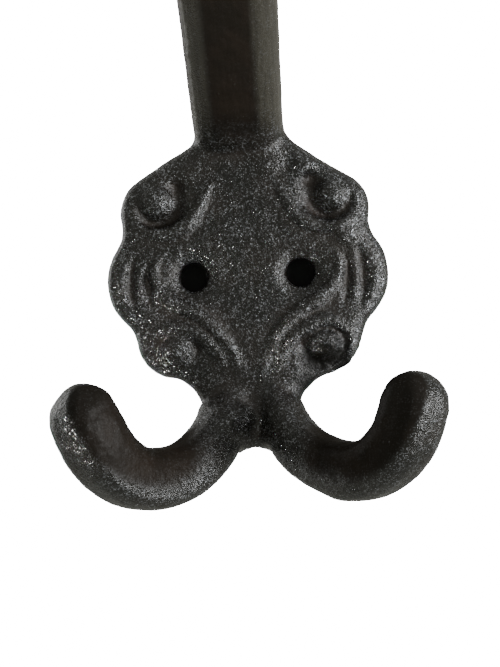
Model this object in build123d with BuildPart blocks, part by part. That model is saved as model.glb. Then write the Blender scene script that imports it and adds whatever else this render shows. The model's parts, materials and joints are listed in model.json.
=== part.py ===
"""Cast iron hat and coat hook: a lobed wall plate with one wide upper arm and two lower prongs.

The whole hook is one iron casting.  The wall is the plane Y = 0, the hook stands out of it
towards -Y, and the origin lies on the wall, midway between the two screw holes.
"""
import os
from math import copysign, cos, hypot, pi, radians, sin, tan

from build123d import *

os.makedirs("parts", exist_ok=True)

# ---------------------------------------------------------------- driving dimensions (mm)
# plate
plate_thick = 5.5          # flat back to flat face
rim_round = 2.5            # rounding of the plate's front rim, made by two chamfers
side_lobe_r = 10.7         # the lobe beside each screw hole
side_lobe_x = 15.8
side_lobe_z = -0.5
upper_lobe_r = 7.1         # the corner lobe below the shoulder
upper_lobe_x = 16.3
upper_lobe_z = 12.1
lower_lobe_r = 7.1         # the corner lobe above the prongs
lower_lobe_x = 14.2
lower_lobe_z = -11.7
lobe_hollow_r = 6.0        # hollows in the outline between one lobe and the next
neck_half = 9.2            # half width of the neck above the prongs
neck_low_z = -26.5
neck_hollow_r = 6.0        # hollow between the lower lobe and the neck
shoulder_slope = 32.0      # fall of the shoulder, in degrees
shoulder_hollow_r = 8.0    # hollow between the shoulder and the arm
plate_top_z = 31.0
plate_top_half = 7.2       # the plate's top end, buried in the arm's root
corner_slack = 1.0         # slack in picking the outline's corners by their place

# screw holes
screw_spacing = 20.0       # centre to centre, side by side
screw_hole_r = 2.75        # clears a 5 mm screw
screw_dish_r = 4.7         # shallow dish under the screw's head
screw_dish_angle = 125.0

# relief on the plate's face: sections
ridge_width = 2.9
ridge_high = 0.95
flute_width = 2.2          # fluting of the side lobes
flute_deep = 0.9
relief_root = 0.8          # how far a ridge reaches below the face, a flute's cutter above it
relief_end = 0.3           # a ridge or flute shrinks to this share of its size at its ends
dish_r = 4.9               # hollows round the knobs in the corner lobes
dish_deep = 1.8
eye_r = 2.3                # deep eye of the upper scroll
eye_deep = 2.0
hollow_flare = 0.8         # a hollow's wall leans out this much for each mm of its depth
upper_knob_r = 2.7         # knobs: footprint and height
upper_knob_high = 1.3
lower_knob_r = 3.0
lower_knob_high = 1.4
knob_crown = 0.78          # radius of a knob's rounded crown, as a share of its foot's
knob_flank = 0.55          # height of its sloping flank, as a share of the knob's
knob_root = 2.2            # how far it reaches below the face, past the floor of its dish

# relief on the plate's face: places on the right half, as steps outwards and upwards
upper_dish = (-0.6, 1.4)                                       # from the upper lobe's centre
upper_eye = (-3.7, 4.7)
upper_knob = (0.2, 2.3)
scroll_ridge = ((-10.5, 5.7), (-7.1, -0.3), (-1.8, -3.8), (3.7, -2.4))
lower_dish = (-0.3, -1.3)                                      # from the lower lobe's centre
lower_knob = (-0.3, -2.1)
inner_ridge = ((-9.6, -6.3), (-6.7, -0.9), (-1.2, 2.5), (3.9, 0.0))
outer_ridge = ((-8.2, -19.5), (-4.2, -10.6), (2.0, -5.7), (7.0, -0.4), (5.4, 4.4))  # from the hole
flute_centre = (-10.6, -0.7)                                   # from the side lobe's centre
flute_bend_r = 13.5
flute_pitch = 3.1
flute_span = 21.0          # each flute's half length, in degrees about their common centre

# upper arm
arm_width = 16.4           # across the arm, at its root
arm_depth = 11.0
arm_squareness = 3.4       # 2 is an ellipse, higher is squarer
arm_flare = 1.07           # the arm widens this much towards its tip
arm_root_x = -0.4          # the arm stands a little off the plate's middle
arm_root_y = -2.0
arm_root_z = 26.7
arm_buried = 9.0           # run of the arm inside the plate, behind its root
arm_lean = 52.0            # lean of the straight run, from upright
arm_foot = 4.0             # run from the root to where the arm stands clear of the plate
arm_run = 56.0
arm_bend_r = 30.0
arm_bend = 46.0            # how far the end is bent back upright, in degrees
arm_end = 4.0              # straight end before the rounded tip

# lower prongs
prong_root_width = 8.9     # the prong's softly square section at the neck
prong_low_width = 10.7     # where it runs level
prong_tip_width = 11.0
prong_squareness = 2.9
prong_swing = 47.0         # each prong's plane, from straight sideways towards the front
prong_root_x = 5.3
prong_root_y = -4.4
prong_root_z = -26.4
prong_buried = 8.0         # run of the prong up inside the plate, thinning out
prong_root_share = 0.55    # its buried end as a share of its width
prong_dive = 59.0          # fall of the prong at its root, in degrees
prong_low_r = 20.8         # bend from the fall to level
prong_level = 1.1
prong_curl_r = 15.7        # bend from level to up
prong_curl = 68.0
prong_end = 2.6            # straight end before the rounded tip
web_low_z = -33.6          # foot of the web between the prongs
web_half = 3.2
crotch_top_z = -31.8       # round arch in the web's foot
crotch_r = 3.3

# facets of the rounded forms
bar_sides = 16             # sides of the arm's and the prongs' section
knob_sides = 16
tip_levels = (0, 30, 55, 76)   # a rounded end's rings, in degrees from its foot to its top

OUT = Vector(0, -1, 0)                   # out of the wall
FACE = Plane.XZ.offset(plate_thick)      # the plate's face

# ---------------------------------------------------------------- helpers


def section(middle, ahead, across, width, depth, squareness):
    """A facetted superellipse, sized across its flats, square to the way the bar runs."""
    flat = cos(pi / bar_sides) ** (2 / squareness)
    points = []
    for side in range(bar_sides):
        turn = 2 * pi * (side + 0.5) / bar_sides
        points.append(
            (
                width / 2 / flat * copysign(abs(cos(turn)) ** (2 / squareness), cos(turn)),
                depth / 2 / flat * copysign(abs(sin(turn)) ** (2 / squareness), sin(turn)),
            )
        )
    with BuildSketch(Plane(origin=middle, x_dir=across, z_dir=ahead)) as cut:
        Polygon(*points, align=None)
    return cut.sketch


def rounded_tip(path, across, width, depth, squareness):
    """The dome that closes a bar, growing out of the bar's last section."""
    reach = min(width, depth) / 2
    sections = []
    for angle in tip_levels:
        shrink = cos(radians(angle))
        middle = (path @ 1) + (path % 1) * (reach * sin(radians(angle)))
        sections.append(
            section(middle, path % 1, across, width * shrink, depth * shrink, squareness)
        )
    return loft(sections, ruled=True, mode=Mode.PRIVATE)


def spot(side, origin, step):
    """A place on the plate's face, a step outwards and upwards from an origin, on either side."""
    return (side * (origin[0] + step[0]), origin[1] + step[1])


def bead(path, width, high):
    """A facetted ridge that thins out at both ends; with a negative height, the cutter of a flute."""
    root = copysign(relief_root, -high)
    stations = ((0, relief_end), (0.3, 1), (0.7, 1), (1, relief_end))
    sections = []
    for where, share in stations:
        w = width / 2 * share
        h = high * share
        ahead = path % where
        with BuildSketch(Plane(origin=path @ where, x_dir=OUT.cross(ahead), z_dir=ahead)) as cut:
            Polygon((-w, root), (-w, 0), (-w * 0.5, h * 0.8), (0, h), (w * 0.5, h * 0.8), (w, 0),
                    (w, root), align=None)
        sections.append(cut.sketch)
    return sweep(sections, path=path, multisection=True, mode=Mode.PRIVATE)


def knob(place, foot_r, high):
    """A domed knob on the plate's face: a sloping flank under a rounded crown."""
    crown_r = foot_r * knob_crown
    crown_low = high * knob_flank
    low_r = foot_r + (foot_r - crown_r) * knob_root / crown_low
    rings = [(low_r, -knob_root)]
    for angle in tip_levels:
        rings.append(
            (crown_r * cos(radians(angle)), crown_low + (high - crown_low) * sin(radians(angle)))
        )
    sections = []
    for ring_r, level in rings:
        with BuildSketch(FACE.offset(level)) as ring:
            with Locations(place):
                RegularPolygon(ring_r, knob_sides)
        sections.append(ring.sketch)
    return loft(sections, ruled=True, mode=Mode.PRIVATE)


# ---------------------------------------------------------------- the casting
side_lobe = (side_lobe_x, side_lobe_z)
upper_lobe = (upper_lobe_x, upper_lobe_z)
lower_lobe = (lower_lobe_x, lower_lobe_z)
screw_hole = (screw_spacing / 2, 0)

slope = radians(shoulder_slope)
shoulder_x = upper_lobe_x + upper_lobe_r * sin(slope)
shoulder_z = upper_lobe_z + upper_lobe_r * cos(slope)
shoulder_top_z = shoulder_z + (shoulder_x - plate_top_half) * tan(slope)

with BuildPart() as casting:
    # lobed plate, with soft hollows between the lobes
    with BuildSketch(Plane.XZ) as outline:
        for side in (-1, 1):
            for lobe, lobe_r in (
                (side_lobe, side_lobe_r),
                (upper_lobe, upper_lobe_r),
                (lower_lobe, lower_lobe_r),
            ):
                with Locations(spot(side, lobe, (0, 0))):
                    Circle(lobe_r)
        half = [
            (plate_top_half, plate_top_z),
            (plate_top_half, shoulder_top_z),
            (shoulder_x, shoulder_z),
            upper_lobe,
            side_lobe,
            lower_lobe,
            (neck_half, lower_lobe_z),
            (neck_half, neck_low_z),
            (web_half, web_low_z),
        ]
        Polygon(half + [(-x, z) for x, z in reversed(half)], align=None)
        notches = outline.vertices().filter_by(lambda v: abs(v.X) > neck_half + corner_slack)
        notches = notches.filter_by_position(Axis.Y, lower_lobe_z, upper_lobe_z)
        fillet(notches, lobe_hollow_r)
        armpits = outline.vertices().filter_by_position(
            Axis.Y, neck_low_z + corner_slack, lower_lobe_z - lower_lobe_r / 2
        )
        fillet(armpits.filter_by(lambda v: abs(abs(v.X) - neck_half) < 0.01), neck_hollow_r)
        shoulders = outline.vertices().filter_by_position(
            Axis.Y, shoulder_z + corner_slack, plate_top_z - corner_slack
        )
        fillet(shoulders, shoulder_hollow_r)
    extrude(amount=plate_thick)

    # the rim is rounded by two chamfers: a steep one from the side, then a flat one on the face
    half_way = rim_round * (1 - cos(pi / 4))
    slant = half_way / (rim_round - half_way)
    for on_face, below in (
        (rim_round * slant, rim_round),
        (rim_round * (1 - slant), half_way * hypot(1, slant)),
    ):
        face = casting.faces().sort_by(Axis.Y)[0]
        rim = face.edges().sort_by(Axis.Z)[:-1]      # all but the top, buried in the arm's root
        chamfer(rim, on_face, below, reference=face)

    # round arch between the prongs
    with Locations((0, 0, crotch_top_z - crotch_r)):
        Cylinder(crotch_r, 4 * plate_thick, rotation=(90, 0, 0), mode=Mode.SUBTRACT)

    # upper arm: a straight lean outwards that widens a little, then bent back upright
    lean = radians(arm_lean)
    with BuildLine(Plane.YZ.offset(arm_root_x), mode=Mode.PRIVATE) as arm_line:
        root = Line(
            (arm_root_y + arm_buried * sin(lean), arm_root_z - arm_buried * cos(lean)),
            (arm_root_y - arm_run * sin(lean), arm_root_z + arm_run * cos(lean)),
        )
        bend = JernArc(root @ 1, root % 1, arm_bend_r, -arm_bend)
        end = Line(bend @ 1, (bend @ 1) + (bend % 1) * arm_end)
    arm_across = Vector(1, 0, 0)
    arm_clear = (arm_buried + arm_foot) / (arm_buried + arm_run)
    arm_far_width = arm_width * arm_flare
    arm_cuts = []
    for line, where, width in (
        (root, 0, arm_width),
        (root, arm_clear, arm_width),
        (root, 1, arm_far_width),
        (end, 0, arm_far_width),
        (end, 1, arm_far_width),
    ):
        arm_cuts.append(
            section(line @ where, line % where, arm_across, width, arm_depth, arm_squareness)
        )
    loft(arm_cuts[:2])
    loft(arm_cuts[1:3])
    sweep(arm_cuts[2], path=bend)
    loft(arm_cuts[3:])
    add(rounded_tip(end, arm_across, arm_far_width, arm_depth, arm_squareness))

    # lower prongs, each bent in its own upright plane
    swing = radians(prong_swing)
    dive = radians(prong_dive)
    for side in (-1, 1):
        ahead = Vector(side * cos(swing), -sin(swing), 0)
        across = ahead.cross(Vector(0, 0, 1))
        prong_plane = Plane(
            origin=(side * prong_root_x, prong_root_y, 0), x_dir=ahead, z_dir=across
        )
        with BuildLine(prong_plane, mode=Mode.PRIVATE) as buried:
            Line(
                (-prong_buried * cos(dive), prong_root_z + prong_buried * sin(dive)),
                (0, prong_root_z),
            )
        with BuildLine(prong_plane, mode=Mode.PRIVATE) as fall:
            low = JernArc((0, prong_root_z), (cos(dive), -sin(dive)), prong_low_r, prong_dive)
        with BuildLine(prong_plane, mode=Mode.PRIVATE) as rise:
            level = Line(low @ 1, (low @ 1) + (low % 1) * prong_level)
            curl = JernArc(level @ 1, level % 1, prong_curl_r, prong_curl)
            Line(curl @ 1, (curl @ 1) + (curl % 1) * prong_end)
        prong_cuts = []
        for line, where, width in (
            (buried.wire(), 0, prong_root_width * prong_root_share),
            (fall.wire(), 0, prong_root_width),
            (rise.wire(), 0, prong_low_width),
            (rise.wire(), 1, prong_tip_width),
        ):
            prong_cuts.append(
                section(line @ where, line % where, across, width, width, prong_squareness)
            )
        loft(prong_cuts[:2], ruled=True)
        sweep(prong_cuts[1:3], path=fall.wire(), multisection=True)
        sweep(prong_cuts[2:], path=rise.wire(), multisection=True)
        add(rounded_tip(rise.wire(), across, prong_tip_width, prong_tip_width, prong_squareness))

    # relief, the same on both sides
    for side in (-1, 1):
        # hollows round the knobs, and the deep eye of the upper scroll
        for step, lobe, rim_r, deep in (
            (upper_dish, upper_lobe, dish_r, dish_deep),
            (lower_dish, lower_lobe, dish_r, dish_deep),
            (upper_eye, upper_lobe, eye_r, eye_deep),
        ):
            with Locations(FACE.offset(-deep)):
                with Locations(spot(side, lobe, step)):
                    Cone(rim_r - deep * hollow_flare, rim_r, deep,
                         align=(Align.CENTER, Align.CENTER, Align.MIN), mode=Mode.SUBTRACT)
        # fluting of the side lobe
        start = -flute_span if side > 0 else 180 - flute_span
        for bend_r in (flute_bend_r, flute_bend_r + flute_pitch):
            with BuildLine(FACE, mode=Mode.PRIVATE) as flute:
                CenterArc(spot(side, side_lobe, flute_centre), bend_r, start, 2 * flute_span)
            add(bead(flute.wire(), flute_width, -flute_deep), mode=Mode.SUBTRACT)
        # knobs
        add(knob(spot(side, upper_lobe, upper_knob), upper_knob_r, upper_knob_high))
        add(knob(spot(side, lower_lobe, lower_knob), lower_knob_r, lower_knob_high))
        # ridges
        scroll_points = [spot(side, upper_lobe, step) for step in scroll_ridge]
        with BuildLine(FACE, mode=Mode.PRIVATE) as scroll:
            Line(*scroll_points[:2])
            ThreePointArc(*scroll_points[1:])
        inner_points = [spot(side, lower_lobe, step) for step in inner_ridge]
        with BuildLine(FACE, mode=Mode.PRIVATE) as inner:
            stem = ThreePointArc(*inner_points[:3])
            TangentArc(stem @ 1, inner_points[3], tangent=stem % 1)
        outer_points = [spot(side, screw_hole, step) for step in outer_ridge]
        with BuildLine(FACE, mode=Mode.PRIVATE) as outer:
            stem = ThreePointArc(*outer_points[:3])
            turn = TangentArc(stem @ 1, outer_points[3], tangent=stem % 1)
            TangentArc(turn @ 1, outer_points[4], tangent=turn % 1)
        for crest in (scroll, inner, outer):
            add(bead(crest.wire(), ridge_width, ridge_high))

    # flat back
    split(bisect_by=Plane.XZ, keep=Keep.TOP)

    # screw holes in their dishes
    with Locations(FACE):
        with GridLocations(screw_spacing, 1, 2, 1):
            CounterSinkHole(screw_hole_r, screw_dish_r, plate_thick, screw_dish_angle)

casting.part.label = "coat_hook"
export_step(casting.part, "parts/coat_hook.step")
print("casting", round(casting.part.volume), "mm3", len(casting.solids()), "solid")
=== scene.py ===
# %% [markdown]
# # A cast iron coat hook
# The hook is one iron casting with a lobed plate, one wide upper arm and two lower prongs.  The CAD model
# gives its exact form.  This lesson dresses it: the sharp CAD edges become the soft ones of a sand
# casting, the skin gets its grain, and a thin blackish lacquer goes over the iron.

# %% Load the CAD part and keep its box
import json
from math import pi, radians

import bpy
import numpy as np
from mathutils import Matrix, Vector


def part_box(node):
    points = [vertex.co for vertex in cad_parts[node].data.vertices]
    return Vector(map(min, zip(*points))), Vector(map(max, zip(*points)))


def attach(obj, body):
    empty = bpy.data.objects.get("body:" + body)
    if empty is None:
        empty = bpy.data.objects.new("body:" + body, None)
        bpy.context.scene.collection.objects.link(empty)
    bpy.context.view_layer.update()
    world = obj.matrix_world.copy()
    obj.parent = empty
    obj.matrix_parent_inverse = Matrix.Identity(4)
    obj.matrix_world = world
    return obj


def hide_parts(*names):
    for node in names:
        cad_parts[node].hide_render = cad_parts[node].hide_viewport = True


MM = 0.001
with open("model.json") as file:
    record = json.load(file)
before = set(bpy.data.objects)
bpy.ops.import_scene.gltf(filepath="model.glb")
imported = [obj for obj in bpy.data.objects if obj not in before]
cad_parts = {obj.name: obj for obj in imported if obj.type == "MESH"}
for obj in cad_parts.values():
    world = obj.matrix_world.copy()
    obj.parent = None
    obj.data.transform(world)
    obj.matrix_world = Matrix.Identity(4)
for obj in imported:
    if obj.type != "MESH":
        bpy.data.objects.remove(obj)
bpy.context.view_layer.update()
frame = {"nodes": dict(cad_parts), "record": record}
bpy.ops.object.select_all(action="DESELECT")
casting_cad = frame["nodes"]["coat_hook"]
low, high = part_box("coat_hook")
print("CAD box in mm", [round(c / MM, 1) for c in low], [round(c / MM, 1) for c in high])

# %% [markdown]
# ## The casting's skin
# Iron poured into a sand mould has no sharp corner anywhere: the pattern is rubbed smooth, and the sand
# rounds off what is left.  Bevels would have to be chosen edge by edge.  A voxel remesh of a merged copy
# turns all the loose CAD triangles into one even skin of small squares, and a few rounds of smoothing then
# soften every edge by the same small amount, which is what the sand does.

# %% One even skin over a copy of the casting
SKIN = 0.43 * MM           # side of the skin's squares


def apply_modifier(piece, kind, name, **settings):
    """Add a modifier, set it and apply it."""
    modifier = piece.modifiers.new(name, kind)
    for key, value in settings.items():
        setattr(modifier, key, value)
    bpy.context.view_layer.objects.active = piece
    bpy.ops.object.modifier_apply(modifier=modifier.name)


hook = casting_cad.copy()
hook.data = casting_cad.data.copy()
hook.name = "hook_casting"
bpy.context.scene.collection.objects.link(hook)
hook.parent = None
hook.matrix_world = Matrix.Identity(4)
for key in list(hook.keys()):
    del hook[key]
hook.select_set(True)
bpy.context.view_layer.objects.active = hook
bpy.ops.object.mode_set(mode="EDIT")
bpy.ops.mesh.select_all(action="SELECT")
bpy.ops.mesh.remove_doubles(threshold=1e-6)
bpy.ops.object.mode_set(mode="OBJECT")
apply_modifier(hook, "REMESH", "skin", mode="VOXEL", voxel_size=SKIN, adaptivity=0.0)
apply_modifier(hook, "SMOOTH", "soften", factor=0.5, iterations=4)
print("skin", len(hook.data.vertices), "points", len(hook.data.polygons), "squares")

# %% [markdown]
# ## Marking a place on the skin
# Most of the steps below change the skin at one place and nowhere else.  A vertex group does that: it holds
# a weight of 1 at the place, which fades softly to 0 around it, and a modifier then acts by that weight.

# %% Points, soft fades and marked places
def points_of(piece):
    """The piece's points, one row each, in metres."""
    rows = np.empty(len(piece.data.vertices) * 3)
    piece.data.vertices.foreach_get("co", rows)
    return rows.reshape(-1, 3)


def fade(distance, full, none):
    """1 up to one distance, falling softly to 0 at a larger one."""
    t = np.clip((none - distance) / (none - full), 0, 1)
    return t * t * (3 - 2 * t)


def mark(piece, place, weights):
    """A vertex group with a weight for every point."""
    group = piece.vertex_groups.new(name=place)
    for index in np.nonzero(weights > 0.01)[0]:
        group.add([int(index)], float(weights[index]), "REPLACE")


def smooth_at(piece, place, rounds):
    """Smooth the skin at a marked place."""
    apply_modifier(piece, "SMOOTH", place, factor=0.5, iterations=rounds, vertex_group=place)


def push_at(piece, place, distance, direction="NORMAL"):
    """Push the skin at a marked place, by a distance in mm."""
    apply_modifier(
        piece, "DISPLACE", place, direction=direction, mid_level=0.0, strength=distance * MM,
        vertex_group=place,
    )


print("points on the flat back:", int((points_of(hook)[:, 1] > -0.01 * MM).sum()))

# %% [markdown]
# ## Where the arm and the prongs grow out of the plate
# A pattern maker fills each inside corner with wax so that the iron flows and doesn't crack as it cools.
# The same soft fillet comes from smoothing the skin harder there.  Two corners are filled: the one under
# the arm, and the one where the prongs leave the neck.  The groove between the prongs' roots comes after
# them and gets many more rounds, until it is only a shallow dip.

# %% Fill the inside corners
BACK = -1.0                         # in mm: what lies behind this is the flat back and stays as it is
ARM_CORNER = (7.0, -9.0, 24.5)      # in mm: half its length, its foremost point and its height
NECK_CORNER = (3.5, -10.0, -19.5)   # in mm: its distance from the middle, foremost point and height
GROOVE = (3.5, -26.0)               # in mm: half its length and its height

x, y, z = (points_of(hook) / MM).T
half, front, level = ARM_CORNER
arm_corner = np.hypot(z - level, np.maximum(np.abs(x) - half, 0)) + np.maximum(front - y, 0)
half, front, level = NECK_CORNER
neck_corner = np.hypot(np.abs(x) - half, (z - level) * 0.8) + np.maximum(front - y, 0)
filled = np.maximum(fade(arm_corner, 2, 5), fade(neck_corner, 3, 7))
mark(hook, "corners", np.where(y > BACK, 0, filled))
smooth_at(hook, "corners", 25)
half, level = GROOVE
groove = np.hypot(x, np.maximum(np.abs(z - level) - half, 0))
mark(hook, "groove", np.where(y > BACK, 0, fade(groove, 2, 6)))
smooth_at(hook, "groove", 90)
print("corner points", int((filled > 0.01).sum()))

# %% [markdown]
# ## The arm's round corners
# The arm's flat front ends in two wide round corners, so broad that the light of a window lies on them in a
# band.  Many rounds of smoothing along the arm alone round its corners that far.  They also draw the arm in
# a little, so it is pushed out again by the same amount.  The prongs' tips get the same, in fewer rounds.

# %% Round the arm and the tips
ARM_FROM, ARM_CLEAR = 25, 30        # heights in mm: where the arm starts and where it stands clear
TIP = (29, -31, -15)                # in mm: the middle of the right prong's end, mirrored for the left one
DRAWN_IN = 0.30                     # in mm: how far the smoothing draws the skin in

x, y, z = (points_of(hook) / MM).T
mark(hook, "arm", 1 - fade(z, ARM_FROM, ARM_CLEAR))
smooth_at(hook, "arm", 120)
push_at(hook, "arm", DRAWN_IN)
tips = np.sqrt((np.abs(x) - TIP[0]) ** 2 + (y - TIP[1]) ** 2 + (z - TIP[2]) ** 2)
mark(hook, "tips", fade(tips, 5, 11))
smooth_at(hook, "tips", 60)
push_at(hook, "tips", DRAWN_IN)
print("arm from", round(float(x[z > 60].min()), 2), "to", round(float(x[z > 60].max()), 2), "mm across")

# %% [markdown]
# ## Hollows and lumps of this one casting
# No two castings from sand are the same.  Here three of the four corner knobs came out blurred, so they are
# smoothed once more.  The sand also stood proud beside the fourth knob and left deep hollows round it, and
# one scroll has a fat lump in its crook.  Each hollow and lump is one soft push at a spot on the face.

# %% Push the face in and out
FACE = -3                  # in mm: what lies in front of this is the plate's face
KNOBS = ((-15.3, 15.6), (15.3, 15.6), (-14.3, -15.4))      # the three blurred ones, across and up, in mm
PUSHES = (                 # name, spot on the face, reach, depth (out is negative), all in mm
    ("hollow_low", 12.0, -16.6, 4.2, 0.9),
    ("hollow_side", 16.8, -17.2, 3.6, 0.7),
    ("hollow_knob", 14.8, -15.4, 4.4, 0.4),
    ("hollow_neck", 11.0, -21.0, 4.6, 0.3),
    ("fill_high", 11.8, 20.0, 3.6, -0.6),
    ("lump_side", 18.6, 8.2, 4.2, -0.9),
    ("lump_foot", 4.2, 21.6, 5.0, -0.7),
    ("lump_neck", -2.6, -27.2, 4.4, -1.6),
)

x, y, z = (points_of(hook) / MM).T
knob_near = np.min([np.hypot(x - at_x, z - at_z) for at_x, at_z in KNOBS], axis=0)
mark(hook, "knobs", np.where(y < FACE + 1, fade(knob_near, 4, 7), 0))
smooth_at(hook, "knobs", 40)
# This weight marks the middles of the deep hollows, which the finish further down paints black and dull as
# painted shade.
painted_hollow_shade = np.zeros(len(x))    # 1 in the middle of a deep hollow, for the finish further down
for name, at_x, at_z, reach, depth in PUSHES:
    near = fade(np.hypot(x - at_x, z - at_z), 0.2 * reach, reach)
    near = np.where(y < FACE, near, 0)
    mark(hook, name, near)
    push_at(hook, name, depth, "Y")
    if depth > 0:
        painted_hollow_shade = np.maximum(painted_hollow_shade, near)
print("pushes", [push[0] for push in PUSHES])

# %% [markdown]
# ## Not quite even
# The left and the right half come from one drawing, but the casting's halves differ by a few tenths of a
# millimetre: the left curl is thicker in its crook, the right shoulder is slimmer.  Each place is swelled
# or thinned along its normals, sideways only, so that the face and the flat back stay where they are.

# %% Swell and thin the outline
SWELLS = (                 # name, spot seen from the front, reach, swell (thinning is negative), all in mm
    ("left_shoulder", -17.5, 19.5, 9.0, 0.35),
    ("right_shoulder", 17.5, 20.5, 9.0, -0.30),
    ("right_low_lobe", 19.5, -15.0, 5.0, -0.40),
    ("right_hollow", 12.6, -20.3, 5.0, 0.45),
    ("left_hollow", -10.9, -21.6, 5.0, 0.50),
    ("left_tip", -27.5, -18.5, 7.0, 0.45),
    ("left_crook", -20.6, -27.7, 7.0, 0.65),
    ("right_root", 12.0, -26.5, 6.0, -0.50),
    ("right_under", 11.2, -36.8, 6.5, -0.50),
    ("web_foot", 0.0, -32.0, 3.5, 0.50),
)


def normals_of(piece):
    """The skin's normals, one row for each point."""
    rows = np.empty(len(piece.data.vertices) * 3)
    piece.data.vertices.foreach_get("normal", rows)
    return rows.reshape(-1, 3)


normals = normals_of(hook)
sideways = np.hypot(normals[:, 0], normals[:, 2]) ** 2
x, y, z = (points_of(hook) / MM).T
for name, at_x, at_z, reach, swell in SWELLS:
    mark(hook, name, fade(np.hypot(x - at_x, z - at_z), 0.3 * reach, reach) * sideways)
    push_at(hook, name, swell)
print("swells", [swell[0] for swell in SWELLS])

# %% [markdown]
# ## Sand-cast lumps
# The skin of a casting is never quite even: grains fall out of the mould and lumps stay.  Two cloud
# textures push the skin in and out by a tenth of a millimetre: one for slow waves, one for the pitting
# that still catches the light from a step away.  What would then stand out of the CAD box is pressed back
# to it, which also keeps the back as flat as the wall it screws to.

# %% Waves and pits in the skin
CLOUDS = (                 # name, size in mm, detail, swing from lowest to highest in mm
    ("waves", 4.5, 1, 0.22),
    ("pits", 1.1, 2, 0.20),
)

for name, size, detail, swing in CLOUDS:
    texture = bpy.data.textures.new(name, "CLOUDS")
    texture.noise_scale = size * MM
    texture.noise_depth = detail
    texture.noise_basis = "ORIGINAL_PERLIN"
    apply_modifier(
        hook, "DISPLACE", name, texture=texture, texture_coords="LOCAL", direction="NORMAL", mid_level=0.5,
        strength=swing * MM,
    )
hook.data.vertices.foreach_set("co", np.clip(points_of(hook), low, high).ravel())
hook.data.update()
bpy.ops.object.shade_smooth()
lumpy = points_of(hook) / MM
print("lumpy skin from", lumpy.min(axis=0).round(2), "to", lumpy.max(axis=0).round(2))

# %% [markdown]
# ## High and low places
# Lacquer runs off the ridges and gathers in the hollows, and hands polish what stands out.  To paint that,
# each point is told how far it stands above or below the average of its neighbourhood: the skin is
# smoothed on paper many times, and the step from there to the real point is kept as an attribute.

# %% Measure how high each point stands
def neighbourhood(rows, edges, rounds):
    """The rows after many rounds of averaging each point with its neighbours."""
    count = len(rows)
    links = np.bincount(edges.ravel(), minlength=count)[:, None]
    a, b = edges.T
    for _ in range(rounds):
        total = np.stack([
            np.bincount(a, rows[b, k], count) + np.bincount(b, rows[a, k], count) for k in range(3)
        ], axis=1)
        rows = (rows + total / links) / 2
    return rows


def keep(piece, name, values):
    """Keep one number for each point, for the material to read."""
    attribute = piece.data.attributes.new(name, "FLOAT", "POINT")
    attribute.data.foreach_set("value", values.astype(np.float32))


edges = np.empty(len(hook.data.edges) * 2, np.int32)
hook.data.edges.foreach_get("vertices", edges)
edges = edges.reshape(-1, 2)
normals = normals_of(hook)
spots = points_of(hook)
stands = ((spots - neighbourhood(spots, edges, 60)) * normals).sum(axis=1) / (0.5 * MM)
keep(hook, "stands_out", np.clip(stands, -2, 2))
print("stands out, half millimetres:", round(float(stands.min()), 2), "to", round(float(stands.max()), 2))

# %% [markdown]
# ## The arm's front and sides
# The arm's flat front faces down and is painted as shade: browner, duller and without bare grains. Its round
# corners are painted olive grey, a painted reflection of the bright room at the arm's sides. The arm stands
# a little off the plate's middle and widens upwards, so a point's place across it is its distance from the
# arm's middle as a share of the arm's half width there.

# %% Tell the arm's front from its sides
ARM_X, ARM_HALF, ARM_WIDENS = -0.4, 8.0, 0.012   # in mm: middle, half width and its gain for each mm up
RIGHT_CORNER = (0.36, 0.60)         # shares of the half width between which the front turns into the side
LEFT_CORNER = (0.42, 0.68)

x, y, z = (spots / MM).T
on_arm = 1 - fade(z, ARM_FROM - 2, ARM_CLEAR)
across = (x - ARM_X) / (ARM_HALF + ARM_WIDENS * z)
arm_side = 1 - np.minimum(fade(across, *RIGHT_CORNER), fade(-across, *LEFT_CORNER))
# The arm's round corners are kept here, so that the finish can paint them olive grey as a painted
# reflection.
keep(hook, "arm_side", on_arm * arm_side)
print("points on the arm's round corners:", int((on_arm * arm_side > 0.5).sum()))

# %% [markdown]
# ## The painted shade inside the curls
# The inner side of the curls gets the same painted shade as the arm's front. A point lies on it where the
# skin faces a spot inside the curl. The normals are averaged over their neighbourhood first, so that a pit
# doesn't count as a turn.

# %% Find the inside of the curls
CURL_INSIDE = (17.0, -50.0, -15.0)  # in mm: a spot that the right curl's inner side faces

calm = neighbourhood(normals, edges, 30)
calm /= np.linalg.norm(calm, axis=1, keepdims=True)
to_inside = np.stack([
    np.sign(x) * CURL_INSIDE[0] - x, CURL_INSIDE[1] - y, CURL_INSIDE[2] - z,
], axis=1)
to_inside /= np.linalg.norm(to_inside, axis=1, keepdims=True)
facing = 1 - fade((calm * to_inside).sum(axis=1), 0.30, 0.55)
falling = (1 - fade(np.abs(x), 8, 13)) * fade(z, -27, -22) * (y < -9)    # beside the neck, under the plate
curling = (1 - fade(np.abs(x), 6, 12)) * (1 - fade(-y, 12, 17))          # in front of the plate
on_prong = np.maximum(falling, curling)
# Painted shade: the arm's flat front and the curls' inner sides are kept here, so that the finish can paint
# them browner, duller and without bare grains.
keep(hook, "painted_shade", np.maximum(on_arm * (1 - arm_side), on_prong * facing))
keep(hook, "painted_hollow_shade", painted_hollow_shade)
keep(hook, "on_prong", on_prong)
print("rubbed points", int((on_prong * facing > 0.5).sum()), "on the prongs")

# %% [markdown]
# ## Shader maths in plain Python
# A material's maths is easier to read as an expression than as a heap of nodes.  A small class wraps a
# node's output, and each operator adds the Math node that does it.  One method makes any other node.

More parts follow.
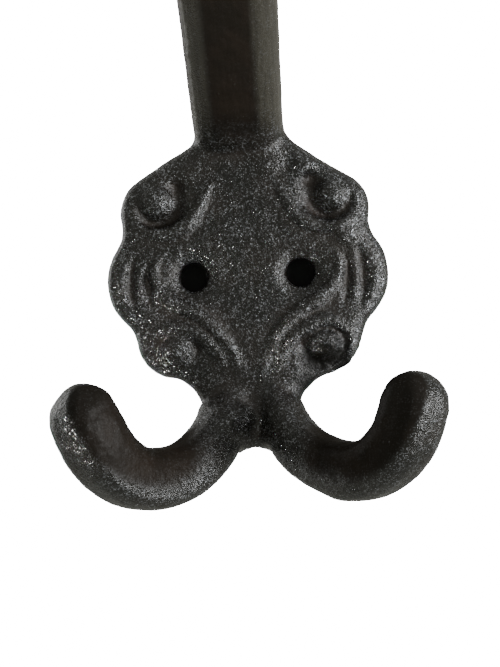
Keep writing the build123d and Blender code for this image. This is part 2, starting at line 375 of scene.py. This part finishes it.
# %% A socket that can do sums
class Value:
    """A node's output that can be used in Python sums."""

    def __init__(self, tree, socket):
        self.tree, self.socket = tree, socket

    def node(self, kind, settings=None, output=0, **inputs):
        """Any node of this tree: its settings first, then the values or links of its sockets.

        A socket is named by its own name, or by i and its number."""
        made = self.tree.nodes.new(kind)
        for key, value in (settings or {}).items():
            setattr(made, key, value)
        for key, value in inputs.items():
            key = int(key[1:]) if key[0] == "i" and key[1:].isdigit() else key.replace("_", " ")
            if isinstance(value, Value):
                self.tree.links.new(value.socket, made.inputs[key])
            else:
                made.inputs[key].default_value = value
        return Value(self.tree, made.outputs[output])

    def maths(self, operation, a, b):
        return self.node("ShaderNodeMath", {"operation": operation}, i0=a, i1=b)

    def __add__(self, other):
        return self.maths("ADD", self, other)

    def __radd__(self, other):
        return self.maths("ADD", other, self)

    def __sub__(self, other):
        return self.maths("SUBTRACT", self, other)

    def __rsub__(self, other):
        return self.maths("SUBTRACT", other, self)

    def __mul__(self, other):
        return self.maths("MULTIPLY", self, other)

    def __rmul__(self, other):
        return self.maths("MULTIPLY", other, self)

    def between(self, start, end):
        """0 below start, 1 above end, and a straight climb between them."""
        return self.node("ShaderNodeMapRange", Value=self, From_Min=start, From_Max=end)

    def tint(self, colour_a, colour_b):
        """From one colour to another as this goes from 0 to 1."""
        return self.node("ShaderNodeMix", {"data_type": "RGBA"}, output=2, i0=self, i6=colour_a, i7=colour_b)


iron = bpy.data.materials.new("lacquered cast iron")
iron.use_nodes = True
tree = iron.node_tree
tree.nodes.clear()
output = tree.nodes.new("ShaderNodeOutputMaterial")
begin = Value(tree, None)
print("an empty material", iron.name)

# %% [markdown]
# ## What the finish follows
# Lacquered iron looks different on a ridge, in a hollow and where it is rubbed.  The numbers that were kept
# for each point come back here as masks from 0 to 1.

# %% Read the kept numbers
def kept(name):
    """A number that was kept for each point."""
    return begin.node("ShaderNodeAttribute", {"attribute_name": name}, output=2)


stands_out = kept("stands_out")
painted_shade, arm_side, hollow_shade_mask, on_prong = kept("painted_shade"), kept("arm_side"), kept("painted_hollow_shade"), kept("on_prong")
coords = begin.node("ShaderNodeTexCoord", output=3)
up = begin.node("ShaderNodeSeparateXYZ", output=2, Vector=coords)
arm = up.between((ARM_FROM - 2) * MM, ARM_CLEAR * MM)
rough_skin = 1 - 0.8 * arm
hollow = (stands_out * -1.0).between(0.05, 0.9)
proud = stands_out.between(0.1, 0.9)
print("masks", len(tree.nodes), "nodes")

# %% [markdown]
# ## The grain of the sand
# Sand leaves a skin of grains about a fifth of a millimetre wide, finer than the skin's squares, so they
# are a pattern in the material.  Voronoi cells make good grains: each has its own middle to slope from, and
# its own number to pick it by.  Larger noise stains the lacquer in patches.  On the arm, rubbing has drawn
# the grain out into streaks, so there the pattern is turned by the arm's lean and stretched along it.

# %% Grains, patches and streaks
GRAIN = 0.21 * MM
ARM_LEAN = radians(52)     # of the arm, from upright


def noise(coords, size, detail=2.0):
    """Soft noise of a given size, about 0 to 1."""
    return coords.node("ShaderNodeTexNoise", Vector=coords, Scale=1 / size, Detail=detail, Roughness=0.5)


stain = noise(coords, 7 * MM, detail=3.0).between(0.42, 0.62)
patches = noise(coords, 1.6 * MM).between(0.40, 0.60)
turned = coords.node("ShaderNodeVectorRotate", {"rotation_type": "X_AXIS"}, Vector=coords, Angle=-ARM_LEAN)
along = coords.node("ShaderNodeVectorMath", {"operation": "MULTIPLY"}, i0=turned, i1=(1.0, 1.0, 0.10))
streaks = noise(along, 1.0 * MM).between(0.35, 0.65)
sand = begin.node("ShaderNodeTexVoronoi", Vector=coords, Scale=1 / GRAIN)
grain_colour = begin.node("ShaderNodeTexVoronoi", output=1, Vector=coords, Scale=1 / GRAIN)
sand_pick = begin.node("ShaderNodeSeparateColor", Color=grain_colour)
print("grains of", GRAIN / MM, "mm")

# %% [markdown]
# ## Lacquer over iron
# Thin blackish lacquer lies over the iron. It is a little brown in the hollows, where rust stains it, and
# greyer on what stands proud. Painted shade makes the arm's front and the curls' inner sides browner and the
# deep hollows black, and a painted reflection makes the arm's round corners olive grey. A few grains, one in
# four, have lost their lacquer and are bare metal: they are what glints. Most of them lie on proud places,
# few in hollows and hardly any in the painted shade.

# %% The colours and the bare grains
BLACK = (0.0055, 0.0056, 0.0046, 1)
BROWN = (0.0270, 0.0185, 0.0130, 1)
# The olive grey of the arm's round corners is a painted reflection of the bright room.
OLIVE_REFLECTION = (0.0440, 0.0408, 0.0322, 1)
GREY = (0.0120, 0.0120, 0.0110, 1)
BARE_IRON = (0.2900, 0.3030, 0.3250, 1)

# Painted shade on the arm's front and the curls' inner sides: a little browner here, with fewer bare grains
# and less gloss further down.
shade_brown = painted_shade * (0.4 - 0.05 * on_prong)
# Painted shade in the deep hollows: they are pulled to black.
brownness = (stain * 0.25 + hollow * 0.45 + shade_brown - hollow_shade_mask).between(0, 1)
colour = brownness.tint(BLACK, BROWN)
colour = (proud * 0.5).tint(colour, GREY)
# Painted reflection: the arm's round corners turn olive grey, varied by the streaks.
reflection_share = (arm_side + (streaks - 0.5) * 0.5 * arm_side).between(0.1, 1.0)
colour = reflection_share.tint(colour, OLIVE_REFLECTION)
bright = sand_pick.between(0.74, 1.0) * (0.8 + 0.6 * proud)
flecks = bright * (0.25 + 0.75 * patches) * rough_skin * (1 - 0.6 * hollow)
# Painted shade: hardly any bare grains on the arm's front, the curls' inner sides or in the deep hollows.
flecks = flecks * (1 - 0.9 * painted_shade) * (1 - 0.9 * hollow_shade_mask) * (1 - 0.3 * on_prong)
colour = flecks.tint(colour, BARE_IRON)
metal = flecks * 0.8
print("colours", len(tree.nodes), "nodes")

# %% [markdown]
# ## Gloss, grain and painted shade
# The lacquer is fairly glossy, and each grain has its own gloss, so the light breaks up into small sparkles.
# A bump of a fifth of a millimetre gives the grains their slopes. The arm's front, the curls' inner sides
# and the deep hollows are painted shade, so they are mixed with a shader that has no gloss at all, which
# darkens them.

# %% The finish
gloss = 0.20 + stain * 0.05 + hollow * 0.16 + sand_pick * 0.16 + painted_shade * 0.15
height = sand * 0.35 * rough_skin + noise(coords, 0.8 * MM) * (1 - 0.5 * arm)
height = height * (1 - 0.6 * painted_shade) + streaks * 0.3 * arm
bump = height.node("ShaderNodeBump", Height=height, Distance=0.22 * MM, Strength=1.0)
shiny = begin.node(
    "ShaderNodeBsdfPrincipled", Base_Color=colour, Metallic=metal, Roughness=gloss, Normal=bump, IOR=1.5,
)
matt = begin.node("ShaderNodeBsdfPrincipled", Base_Color=colour, Roughness=1.0, Specular_IOR_Level=0.0)
# Painted shade: the arm's front, the curls' inner sides and the deep hollows are mixed towards a shader with
# no gloss, which darkens them.
dullness = (painted_shade * (0.55 + 0.25 * on_prong) + hollow_shade_mask * 0.7).between(0, 1)
finish = begin.node("ShaderNodeMixShader", i0=dullness, i1=shiny, i2=matt)
tree.links.new(finish.socket, output.inputs["Surface"])
hook.data.materials.clear()
hook.data.materials.append(iron)
print("finish", iron.name, len(tree.nodes), "nodes")

# %% [markdown]
# ## Hand the dressed casting back to the frame
# The dressed hook stands for the CAD node and rides on the part's only body.

# %% Ride and replace
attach(hook, "root")
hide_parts("coat_hook")
print("hook_casting stands for coat_hook")

# %% [markdown]
# ## The studio
# A pale floor runs up into a pale wall far behind, with no corner between them: one plane, whose far edge
# is extruded back and up, and a bevel that rounds the bend.  The wall glows, so that it stays white behind
# the hook.  Bounced light and reflections don't see it, or the iron would turn pale.

# %% Floor and back wall
DROP = 0.09                # from the prongs down to the floor, in metres


def plain(name, colour, roughness=0.9, glow=0.0):
    """A plain matt material, with a glow if it has one."""
    material = bpy.data.materials.new(name)
    material.use_nodes = True
    skin = material.node_tree.nodes["Principled BSDF"]
    skin.inputs["Base Color"].default_value = colour
    skin.inputs["Roughness"].default_value = roughness
    skin.inputs["Emission Color"].default_value = colour
    skin.inputs["Emission Strength"].default_value = glow
    return material


bpy.ops.mesh.primitive_plane_add(size=1, location=(0, 0, low.z - DROP))
floor = bpy.context.active_object
floor.name = "studio_floor"
floor.scale = (2.4, 1.2, 1)
bpy.ops.object.transform_apply(location=True, scale=True)
bpy.ops.object.mode_set(mode="EDIT")
bpy.ops.mesh.select_all(action="DESELECT")
bpy.ops.object.mode_set(mode="OBJECT")
for edge in floor.data.edges:
    ends = [floor.data.vertices[i].co.y for i in edge.vertices]
    edge.select = min(ends) > 0.5
bpy.ops.object.mode_set(mode="EDIT")
bpy.ops.mesh.select_mode(type="EDGE")
bpy.ops.mesh.extrude_region_move(TRANSFORM_OT_translate={"value": (0, 0.25, 0.12)})
bpy.ops.mesh.extrude_region_move(TRANSFORM_OT_translate={"value": (0, 0.05, 1.2)})
bpy.ops.object.mode_set(mode="OBJECT")
apply_modifier(floor, "BEVEL", "sweep", width=0.3, segments=8)
bpy.ops.object.shade_smooth()
floor.data.materials.append(plain("studio white", (0.9, 0.9, 0.9, 1), glow=25.0))
floor.visible_diffuse = False
floor.visible_glossy = False
print("floor at", round((low.z - DROP) / MM), "mm")

# %% [markdown]
# ## The dark behind the screw holes
# A screw hole against an unlit wall is a black spot. Two small dark discs just inside the back of the holes
# paint that shade. They are part of the stage, and the hook itself keeps its open holes.

# %% Painted shade in the holes
hole_r = frame["record"]["mounts"][0]["dims"]["hole_r_mm"] * MM
hole_x = frame["record"]["mounts"][0]["dims"]["spacing_x_mm"] / 2 * MM
dark = plain("dark behind the holes", (0.004, 0.004, 0.004, 1))
# Two black discs as painted shade in the screw holes.
for side, name in ((-1, "hole_shade_left"), (1, "hole_shade_right")):
    bpy.ops.mesh.primitive_circle_add(
        vertices=32, radius=1.2 * hole_r, fill_type="NGON", location=(side * hole_x, high.y - 1.2 * MM, 0),
        rotation=(pi / 2, 0, 0),
    )
    disc = bpy.context.active_object
    disc.name = name
    disc.data.materials.append(dark)
print("hole backs behind holes of radius", hole_r / MM, "mm")

# %% [markdown]
# ## Light
# The main light is a small one on the right, a little below the hook: small, because a small light gives
# crisp glints.  A wider one behind the hook on the left lights its left rims, and a weak one stands above.
# A last one from low on the left is narrowed to a beam that only reaches the left curl.  Nothing bright
# stands beside the camera, so the plate's flat face stays dark and only edges and grain catch the light.

# %% Soft lights
def soft_light(name, place, target, width, height, power):
    """A flat soft light that faces a target, with its sizes in metres and its power in watts."""
    bpy.ops.object.light_add(type="AREA", location=place)
    light = bpy.context.active_object
    light.name = name
    light.data.shape = "RECTANGLE"
    light.data.size = width
    light.data.size_y = height
    light.data.energy = power
    light.rotation_euler = (Vector(place) - Vector(target)).to_track_quat("Z", "Y").to_euler()
    return light


MIDDLE = (0, -0.02, 0.0)
LEFT_CURL = (-0.052, -0.045, -0.050)
soft_light("light_right", (0.46, -0.25, -0.10), MIDDLE, 0.12, 0.30, 5.5)
soft_light("light_left", (-0.40, 0.24, 0.12), MIDDLE, 0.20, 0.40, 1.0)
soft_light("light_top", (0.10, -0.16, 0.48), MIDDLE, 0.35, 0.25, 0.4)
low_light = soft_light("light_low", (-0.27, -0.26, -0.20), LEFT_CURL, 0.05, 0.05, 0.17)
low_light.data.spread = radians(6)
world = bpy.data.worlds.new("pale room")
bpy.context.scene.world = world
world.use_nodes = True
world.node_tree.nodes["Background"].inputs["Color"].default_value = (0.97, 0.97, 0.87, 1)
world.node_tree.nodes["Background"].inputs["Strength"].default_value = 0.43

# %% [markdown]
# ## The camera
# The hook is seen from the front, level with the plate and about a third of a metre away, so near that
# what stands forward looks larger.  The camera is turned and rolled by the small angles of a hand-held one.

# %% The camera
EYE = (0.0112, -0.3453, -0.011)
TURN = radians(1.8)
ROLL = radians(-2.7)

camera_data = bpy.data.cameras.new("camera")
camera = bpy.data.objects.new("camera", camera_data)
bpy.context.scene.collection.objects.link(camera)
camera_data.sensor_width = 36
camera_data.lens = 98.4
camera_data.shift_x = -0.0037
camera.matrix_world = (
    Matrix.Translation(EYE) @ Matrix.Rotation(TURN, 4, "Z")
    @ Matrix.Rotation(pi / 2, 4, "X") @ Matrix.Rotation(ROLL, 4, "Z")
)
bpy.context.scene.camera = camera
print("camera", [round(c, 3) for c in camera.location])
